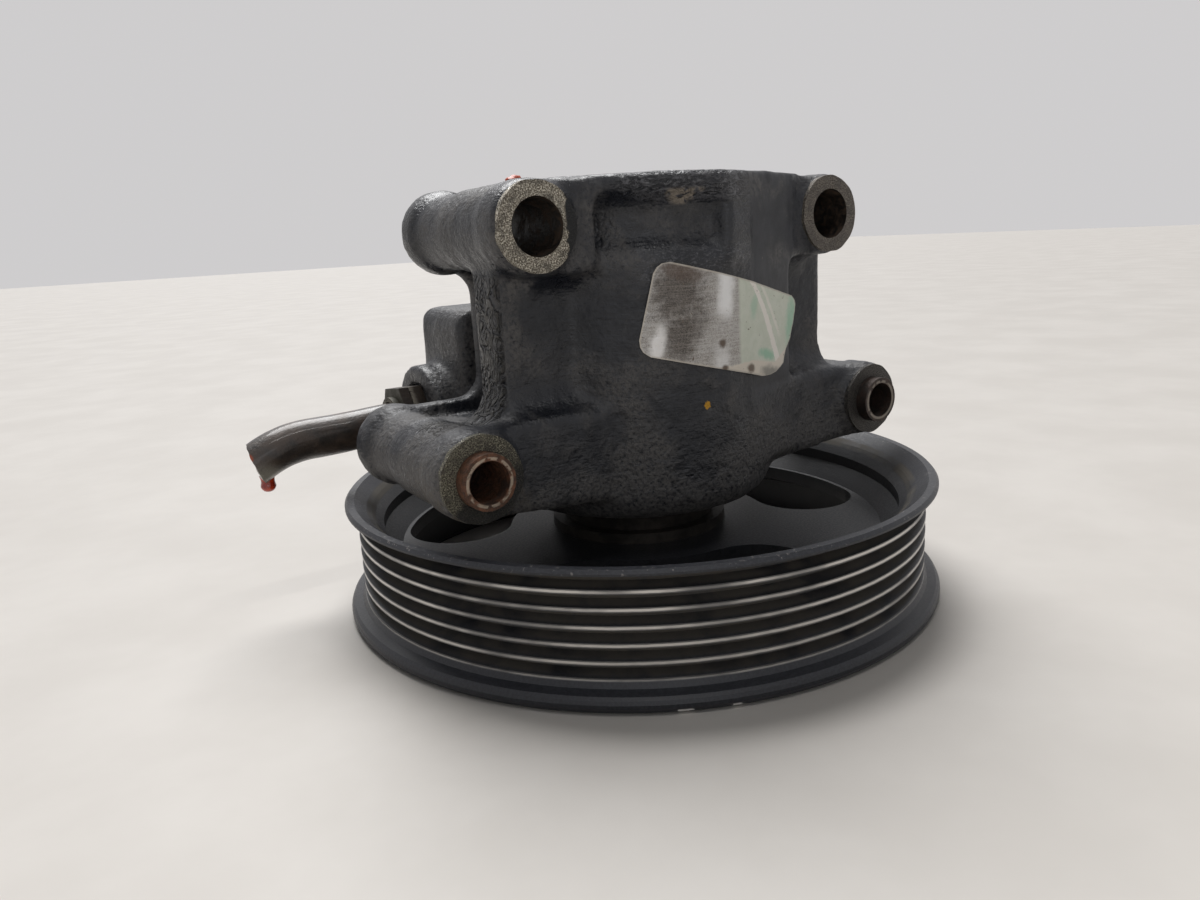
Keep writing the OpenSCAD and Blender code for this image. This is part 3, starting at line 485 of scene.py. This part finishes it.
def orange_paint():
    """A dab of orange marking paint."""
    p = Paint("orange_dab")
    colour = p.tint(p.span(p.noise(0.9, 3.0), 0.4, 0.7), (0.6, 0.075, 0.018), (0.42, 0.045, 0.012))
    return p.done(colour, 0.4, p.bump(p.noise(1.4, 3.0), 0.1, 0.6))


def fluid():
    """A drop of red oil."""
    p = Paint("oil_drop")
    colour = p.tint(p.span(p.noise(0.6, 2.0), 0.3, 0.7), (0.32, 0.02, 0.008), (0.5, 0.05, 0.015))
    return p.done(colour, 0.08, p.bump(p.noise(0.8, 2.0), 0.05, 0.3), Coat_Weight=0.6, Coat_Roughness=0.05)


def rubber():
    """Dull black seals."""
    p = Paint("seal_rubber")
    bloom = p.span(p.noise(0.4, 4.0), 0.4, 0.7)
    colour = p.tint(bloom, (0.012, 0.012, 0.012), (0.03, 0.029, 0.028))
    return p.done(colour, p.mix(bloom, 0.5, 0.7), p.bump(p.noise(2.0, 3.0), 0.05, 0.6))


MATERIALS = {
    "black_casting": cast_paint(),
    "black_pulley": pulley_paint(),
    "rusty_sleeve": sleeve_metal(),
    "oily_tube": tube_metal(),
    "brown_steel": brown_steel(),
    "dark_steel": plain_metal("dark_steel", (0.035, 0.033, 0.03), (0.07, 0.062, 0.054), 0.46),
    "ground_steel": plain_metal("ground_steel", (0.34, 0.33, 0.31), (0.5, 0.49, 0.46), 0.3),
    "spring_steel": plain_metal("spring_steel", (0.18, 0.18, 0.18), (0.3, 0.29, 0.28), 0.36),
    "bush_bronze": plain_metal("bush_bronze", (0.36, 0.22, 0.1), (0.48, 0.32, 0.15), 0.36),
    "seal_rubber": rubber(),
    "foil": foil_paint(),
}
for name, obj in nodes.items():
    for index, held in enumerate(obj.data.materials):
        if held and held.name in MATERIALS:
            obj.data.materials[index] = MATERIALS[held.name]


# Stage

def make_floor():
    """A wide pale floor under the pulley's lower rim."""
    mesh = bpy.data.meshes.new("floor")
    size = 4.0
    low = RIM_LOW * MM
    corners = [(-size, -size, low), (size, -size, low), (size, size, low), (-size, size, low)]
    mesh.from_pydata(corners, [], [(0, 1, 2, 3)])
    floor = bpy.data.objects.new("floor", mesh)
    scene.collection.objects.link(floor)
    p = Paint("pale_floor")
    cloud = p.span(p.noise(0.02, 4.0, 0.6), 0.3, 0.75)
    colour = p.tint(cloud, (0.63, 0.595, 0.555), (0.69, 0.655, 0.615))
    floor.data.materials.append(p.done(colour, 0.6, p.bump(p.noise(0.3, 4.0), 0.1, 0.3)))


def make_world():
    """Dim soft light, and a plain pale wall for what the camera and reflections see."""
    world = bpy.data.worlds.new("studio")
    scene.world = world
    world.use_nodes = True
    tree = world.node_tree
    tree.nodes.clear()
    path = tree.nodes.new("ShaderNodeLightPath")
    seen = path.outputs["Is Camera Ray"]
    for name in ("Is Glossy Ray", "Is Transmission Ray"):
        either = tree.nodes.new("ShaderNodeMath")
        either.operation = "MAXIMUM"
        tree.links.new(seen, either.inputs[0])
        tree.links.new(path.outputs[name], either.inputs[1])
        seen = either.outputs[0]
    soft = tree.nodes.new("ShaderNodeBackground")
    soft.inputs["Color"].default_value = (0.95, 0.97, 1.0, 1.0)
    soft.inputs["Strength"].default_value = 0.1
    wall = tree.nodes.new("ShaderNodeBackground")
    wall.inputs["Color"].default_value = (0.62, 0.61, 0.615, 1.0)
    wall.inputs["Strength"].default_value = 1.0
    either = tree.nodes.new("ShaderNodeMixShader")
    out = tree.nodes.new("ShaderNodeOutputWorld")
    tree.links.new(seen, either.inputs[0])
    tree.links.new(soft.outputs[0], either.inputs[1])
    tree.links.new(wall.outputs[0], either.inputs[2])
    tree.links.new(either.outputs[0], out.inputs["Surface"])


def make_lamp(name, place, aim, size, watts, colour=(1.0, 1.0, 1.0)):
    """A flat lamp of a width and a depth, turned to a point."""
    light = bpy.data.lights.new(name, "AREA")
    light.energy = watts
    light.color = colour
    light.shape = "RECTANGLE"
    light.size, light.size_y = size
    lamp = bpy.data.objects.new(name, light)
    lamp.location = place
    lamp.rotation_euler = (Vector(aim) - Vector(place)).to_track_quat("-Z", "Y").to_euler()
    scene.collection.objects.link(lamp)


def make_sun():
    """Wide, even light from above and behind."""
    light = bpy.data.lights.new("sun", "SUN")
    light.energy = 3.15
    light.angle = math.radians(40)
    lamp = bpy.data.objects.new("sun", light)
    lamp.rotation_euler = Vector((-0.2, -0.62, -1.0)).to_track_quat("-Z", "Y").to_euler()
    scene.collection.objects.link(lamp)


def make_camera():
    """The photo's view, solved from the pulley's circles."""
    camera = bpy.data.objects.new("camera", bpy.data.cameras.new("camera"))
    camera.data.sensor_width = 36.0
    camera.data.lens = 27.0
    camera.data.clip_start = 0.01
    ahead = Vector((0.5327, 0.8136, -0.2329)).normalized()
    right = Vector((0.8288, -0.5573, -0.0511))
    right = (right - ahead * right.dot(ahead)).normalized()
    up = right.cross(ahead)
    turn = Matrix((right, up, -ahead)).transposed().to_4x4()
    camera.matrix_world = Matrix.Translation((-0.12995, -0.18172, 0.08149)) @ turn
    scene.collection.objects.link(camera)
    scene.camera = camera


scene.view_settings.view_transform = "Standard"
make_floor()
make_world()
make_sun()
make_lamp("top", (-0.05, -0.22, 0.65), (-0.05, 0.0, 0.05), (0.4, 0.012), 0.45, (1.0, 0.99, 0.97))
make_lamp("fill", (-0.32, -0.62, 0.34), (0.0, 0.0, 0.05), (0.4, 0.3), 0.36, (0.95, 0.97, 1.0))
make_camera()


# Housing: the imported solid, its cast edges softened and its skin roughened, then machined again

def new_object(name, mesh):
    obj = bpy.data.objects.new(name, mesh)
    scene.collection.objects.link(obj)
    return obj


def applied(obj):
    """A mesh with the object's modifiers worked in."""
    graph = bpy.context.evaluated_depsgraph_get()
    return bpy.data.meshes.new_from_object(obj.evaluated_get(graph))


def rod(name, start, axis, length, radius, material, steps=72, wobble=0.0):
    """A round bar from a point along an axis letter, in millimetres, its outline a little uneven if asked."""
    turn = {"x": (1, 2, 0), "y": (2, 0, 1), "z": (0, 1, 2)}[axis]
    points = []
    for end in (0.0, length):
        for i in range(steps):
            angle = 2 * math.pi * i / steps
            r = radius + wobble * noise.noise(Vector((3 * math.cos(angle), 3 * math.sin(angle), start[0])))
            local = (r * math.cos(angle), r * math.sin(angle), end)
            point = [0.0, 0.0, 0.0]
            for value, slot in zip(local, turn):
                point[slot] = value
            points.append([(s + v) * MM for s, v in zip(start, point)])
    sides = [(i, (i + 1) % steps, (i + 1) % steps + steps, i + steps) for i in range(steps)]
    ends = [tuple(range(steps - 1, -1, -1)), tuple(range(steps, 2 * steps))]
    mesh = bpy.data.meshes.new(name)
    mesh.from_pydata(points, [], sides + ends)
    mesh.materials.append(material)
    return new_object(name, mesh)


def combine(obj, tool, operation):
    """Adds or cuts a tool, which is then removed."""
    step = obj.modifiers.new("step", "BOOLEAN")
    step.operation = operation
    step.solver = "MANIFOLD"
    step.material_mode = "TRANSFER"
    step.object = tool
    mesh = applied(obj)
    obj.modifiers.clear()
    obj.data = mesh
    bpy.data.objects.remove(tool)


def relax(points, edges, rounds, pull):
    """Each point moves part of the way to the middle of its neighbours, several times."""
    count = np.bincount(edges.ravel(), minlength=len(points))[:, None]
    for _ in range(rounds):
        total = np.zeros_like(points)
        for axis in range(3):
            total[:, axis] = (np.bincount(edges[:, 0], points[edges[:, 1], axis], len(points))
                              + np.bincount(edges[:, 1], points[edges[:, 0], axis], len(points)))
        points = points + pull * (total / count - points)
    return points


def cast_skin(points, normals):
    """Pushes points along their normals for the lumps of a sand casting."""
    moved = np.empty_like(points)
    for i, (point, normal) in enumerate(zip(points, normals)):
        at = Vector(point / MM)
        wave = 0.13 * noise.noise(at * 0.14) + 0.09 * noise.noise(at * 0.45)
        rough = min(1.0, max(0.0, (34.0 - at.z) / 10.0)) if at.y < 0 else 0.0
        wave += 0.12 * rough * noise.noise(at * 0.9)
        moved[i] = point + normal * wave * MM
    return moved


def make_housing():
    """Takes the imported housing's place, with rings and bores cut clean after the skin is roughened."""
    casting = new_object("casting", nodes["housing"].data.copy())
    remesh = casting.modifiers.new("voxels", "REMESH")
    remesh.mode = "VOXEL"
    remesh.voxel_size = VOXEL * MM
    mesh = applied(casting)
    casting.modifiers.clear()
    casting.data = mesh
    count = len(mesh.vertices)
    points = np.empty(count * 3)
    mesh.vertices.foreach_get("co", points)
    edges = np.empty(len(mesh.edges) * 2, int)
    mesh.edges.foreach_get("vertices", edges)
    points = relax(points.reshape(-1, 3), edges.reshape(-1, 2), RELAX_ROUNDS, RELAX_PULL)
    mesh.vertices.foreach_set("co", points.ravel())
    mesh.update()
    normals = np.empty(count * 3)
    mesh.vertex_normals.foreach_get("vector", normals)
    points = cast_skin(points, normals.reshape(-1, 3))
    mesh.vertices.foreach_set("co", points.ravel())
    mesh.update()
    mesh.materials.clear()
    mesh.materials.append(MATERIALS["black_casting"])
    face = ring_metal()
    bore = bore_metal()
    for key, (x, z) in BOSSES.items():
        ring = rod("ring_" + key, (x, -MOUNT_Y, z), "y", RING_THICK, FACE_R, face, wobble=RING_WOBBLE)
        combine(casting, ring, "UNION")
    for key, (x, z) in BOSSES.items():
        deep = SEAT_DEEP if key in ("ll", "lr") else MOUNT_Y + BOSS_BACK + 2
        start = (x, -MOUNT_Y - 1, z)
        combine(casting, rod("bore_" + key, start, "y", deep + 1, BOLT_R, bore), "DIFFERENCE")
        if key in ("ll", "lr"):
            combine(casting, rod("pass_" + key, start, "y", THROUGH, PASS_R, bore), "DIFFERENCE")
    groove_r, groove_low, groove_high = RING_GROOVE
    dark = MATERIALS["dark_steel"]
    cuts = [((0, 0, CAVITY_Z), "z", THROUGH, CAVITY_R),
            ((0, 0, groove_low), "z", groove_high - groove_low, groove_r),
            ((0, 0, NOSE_Z - LEAD), "z", LEAD + SEAL_DEEP, SEAL_R),
            ((-OUTLET_X - LEAD, *VALVE_AT), "x", OUTLET_X + LEAD + VALVE_END, VALVE_R),
            ((INLET_AT[0], INLET_OUT - INLET_DEEP, INLET_AT[1]), "y", INLET_DEEP + LEAD, INLET_R)]
    for start, axis, length, radius in cuts:
        combine(casting, rod("cut", start, axis, length, radius, dark), "DIFFERENCE")
    casting.data.shade_smooth()
    casting.data.set_sharp_from_angle(angle=math.radians(42))
    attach(casting, "pump_body")
    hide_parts("housing")


make_housing()


# Label, dab, hexes, tube and drop

def placed(name, points, faces, material):
    """A smooth new piece on the pump body, from points in millimetres."""
    mesh = bpy.data.meshes.new(name)
    mesh.from_pydata([[c * MM for c in point] for point in points], [], faces)
    mesh.materials.append(material)
    mesh.shade_smooth()
    mesh.set_sharp_from_angle(angle=math.radians(50))
    piece = new_object(name, mesh)
    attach(piece, "pump_body")
    return piece


def strip_faces(rows, cols):
    """Quads between the points of a grid, row by row."""
    return [(r * cols + c, r * cols + c + 1, (r + 1) * cols + c + 1, (r + 1) * cols + c)
            for r in range(rows - 1) for c in range(cols - 1)]


def ring_faces(pairs, around, flipped=False):
    """Quads between pairs of rings of points, facing the other way if asked."""
    faces = []
    for a, b in pairs:
        for k in range(around):
            after = (k + 1) % around
            face = (a * around + k, a * around + after, b * around + after, b * around + k)
            faces.append((face[0], *reversed(face[1:])) if flipped else face)
    return faces


def on_skin(along, z, out):
    """A point off the body's skin. The way along it counts from where the flank leaves the round part."""
    turn = math.radians(FLANK_TURN)
    if along < 0:
        far = BODY_R + out + (FLANK_DIST - BODY_R) * max(0.0, 1 + along / 6)
        angle = turn + along / BODY_R
        return far * math.sin(angle), -far * math.cos(angle), z
    far = FLANK_DIST + out
    return far * math.sin(turn) + along * math.cos(turn), along * math.sin(turn) - far * math.cos(turn), z


def make_label():
    """A foil sheet that follows the turned body and the flank, its lower right corner lifted."""
    rows, cols = 61, 91
    width, height = LABEL_SIZE
    tilt = math.radians(LABEL_TILT)
    sheets = ([], [])
    shares = []
    for r in range(rows):
        rise = r / (rows - 1)
        left = np.interp(rise, LABEL_RISE, LABEL_LEFT)
        right = np.interp(rise, LABEL_RISE, LABEL_RIGHT)
        for c in range(cols):
            across = left + (right - left) * c / (cols - 1)
            a = width * (across - 0.5)
            b = height * (rise - 0.5)
            along = LABEL_AT[0] + a * math.cos(tilt) - b * math.sin(tilt)
            z = LABEL_AT[1] + a * math.sin(tilt) + b * math.cos(tilt)
            wave = 0.1 * noise.noise(Vector((a, b, 0.0)) * 0.35)
            wave += 0.05 * noise.noise(Vector((a, b, 5.0)) * 1.1)
            lift = 16.0 * max(0.0, across - 0.7) * max(0.0, 0.36 - rise)
            for sheet, out in zip(sheets, (0.45, 0.3)):
                sheet.append(on_skin(along, z, out + wave + lift))
            inward = min(width * min(across - left, right - across), height * min(rise, 1 - rise))
            shares.append((across, rise, inward))
    count = rows * cols
    faces = strip_faces(rows, cols)
    back = [tuple(count + i for i in reversed(face)) for face in faces]
    rim = list(range(cols))
    rim += [r * cols + cols - 1 for r in range(1, rows)]
    rim += [(rows - 1) * cols + c for c in range(cols - 2, -1, -1)]
    rim += [r * cols for r in range(rows - 2, 0, -1)]
    edge = [(rim[i - 1], count + rim[i - 1], count + rim[i], rim[i]) for i in range(len(rim))]
    label = placed("label", sheets[0] + sheets[1], faces + back + edge, MATERIALS["foil"])
    kept = label.data.attributes.new("sheet", "FLOAT_VECTOR", "POINT")
    kept.data.foreach_set("vector", np.array(shares + shares).ravel())
    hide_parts("foil_label")


def make_hexes():
    """Union and nut turned flat side up about the valve's axis, the nut's outer part a little shorter."""
    turn = math.radians(HEX_TURN)
    for name in ("outlet_union", "tube_nut"):
        mesh = nodes[name].data.copy()
        for vertex in mesh.vertices:
            x, y, z = (c / MM for c in vertex.co)
            off, up = y - VALVE_AT[0], z - VALVE_AT[1]
            if x < NUT_START:
                x = NUT_START + (x - NUT_START) * NUT_SHARE
            vertex.co = (x * MM, (VALVE_AT[0] + off * math.cos(turn) - up * math.sin(turn)) * MM,
                         (VALVE_AT[1] + off * math.sin(turn) + up * math.cos(turn)) * MM)
        mesh.update()
        piece = new_object(name + "_turned", mesh)
        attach(piece, "pump_body")
        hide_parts(name)


def eased(value):
    """A soft step from nought to one."""
    held = min(1.0, max(0.0, value))
    return held * held * (3 - 2 * held)


def along_dip(x):
    """A soft step from nought at the start of the tube's dip to one at its end."""
    start, end = TUBE_DIP_AT
    return eased((x - start) / (end - start))


def tube_middle(far):
    """Middle of the tube at a length from its start: out of the nut, a slight dip, then a bend downwards."""
    y, z = VALVE_AT
    straight = TUBE_START - TUBE_STRAIGHT
    if far <= straight:
        x = TUBE_START - far
        return Vector((x, y, z - TUBE_DIP * along_dip(x)))
    turn = (far - straight) / TUBE_BEND_R
    drop = TUBE_DIP + TUBE_BEND_R * (1 - math.cos(turn))
    return Vector((TUBE_STRAIGHT - TUBE_BEND_R * math.sin(turn), y, z - drop))


def tube_path(share):
    """Middle and direction of the tube at a share of its length."""
    length = TUBE_START - TUBE_STRAIGHT + TUBE_BEND_R * math.radians(TUBE_BEND)
    far = share * length
    step = 0.05
    return tube_middle(far), (tube_middle(far + step) - tube_middle(far - step)).normalized()


def make_tube():
    """The cut-off tube: a bent pipe with a ragged end, longer on its low and near side."""
    steps, around = 70, 48
    points = []
    for radius, order in ((TUBE_R, range(steps + 1)), (TUBE_R - TUBE_WALL, range(steps, -1, -1))):
        for i in order:
            middle, ahead = tube_path(i / steps)
            side = Vector((0.0, 1.0, 0.0))
            top = side.cross(ahead)
            near_end = max(0.0, (i - steps + 10) / 10)
            swell = TUBE_SWELL * along_dip(middle.x)
            for k in range(around):
                angle = 2 * math.pi * k / around
                ring = side * math.cos(angle) + top * math.sin(angle)
                ragged = 0.4 * noise.noise(Vector((2.2 * math.cos(angle), 2.2 * math.sin(angle), 3.0)))
                longer = (ragged - 1.1 * ring.z - 1.4 * ring.y) * near_end ** 2
                r = radius + swell + 0.06 * noise.noise(middle * 0.3 + ring * 1.5)
                points.append(tuple(middle + ring * r + ahead * longer))
    rows = 2 * (steps + 1)
    faces = ring_faces([(r, (r + 1) % rows) for r in range(rows)], around)
    tube = placed("tube", points, faces, MATERIALS["oily_tube"])
    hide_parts("pressure_tube")


def make_drop():
    """Oil that hangs from the low side of the tube's end."""
    rings, around = 16, 24
    middle, ahead = tube_path(1.0)
    down = Vector((0.0, 1.0, 0.0)).cross(ahead)
    down = down if down.z < 0 else -down
    start = middle + down * (TUBE_R - 0.9) + ahead * 0.2
    points = []
    for i in range(rings + 1):
        t = i / rings
        closing = math.sqrt(max(0.001, 1 - max(0.0, (t - 0.5) / 0.5) ** 2.2))
        waist = 1.1 - 0.16 * math.sin(math.pi * min(1.0, t * 1.6))
        r = DROP_R * closing * waist
        for k in range(around):
            angle = 2 * math.pi * k / around
            side = (start.x + r * math.cos(angle), start.y + r * math.sin(angle))
            points.append((*side, start.z - DROP_LONG * t))
    faces = ring_faces([(i, i + 1) for i in range(rings)], around)
    faces += [tuple(range(around - 1, -1, -1)), tuple(rings * around + k for k in range(around))]
    placed("oil_drop", points, faces, fluid())


def make_dab():
    """A lump of marking paint on the rear edge of the casting."""
    rings, around = 10, 18
    points = []
    for i in range(rings + 1):
        level = math.pi * i / rings
        flat = math.sin(level)
        for k in range(around):
            angle = 2 * math.pi * k / around
            ball = Vector((flat * math.cos(angle), flat * math.sin(angle), math.cos(level)))
            size = 1.0 + 0.35 * noise.noise(ball * 1.7)
            points.append(tuple(at + half * c * size for at, half, c in zip(DAB_AT, DAB_HALF, ball)))
    faces = ring_faces([(i, i + 1) for i in range(rings)], around, flipped=True)
    placed("orange_dab", points, faces, orange_paint())


make_label()
make_dab()
make_hexes()
make_tube()
make_drop()
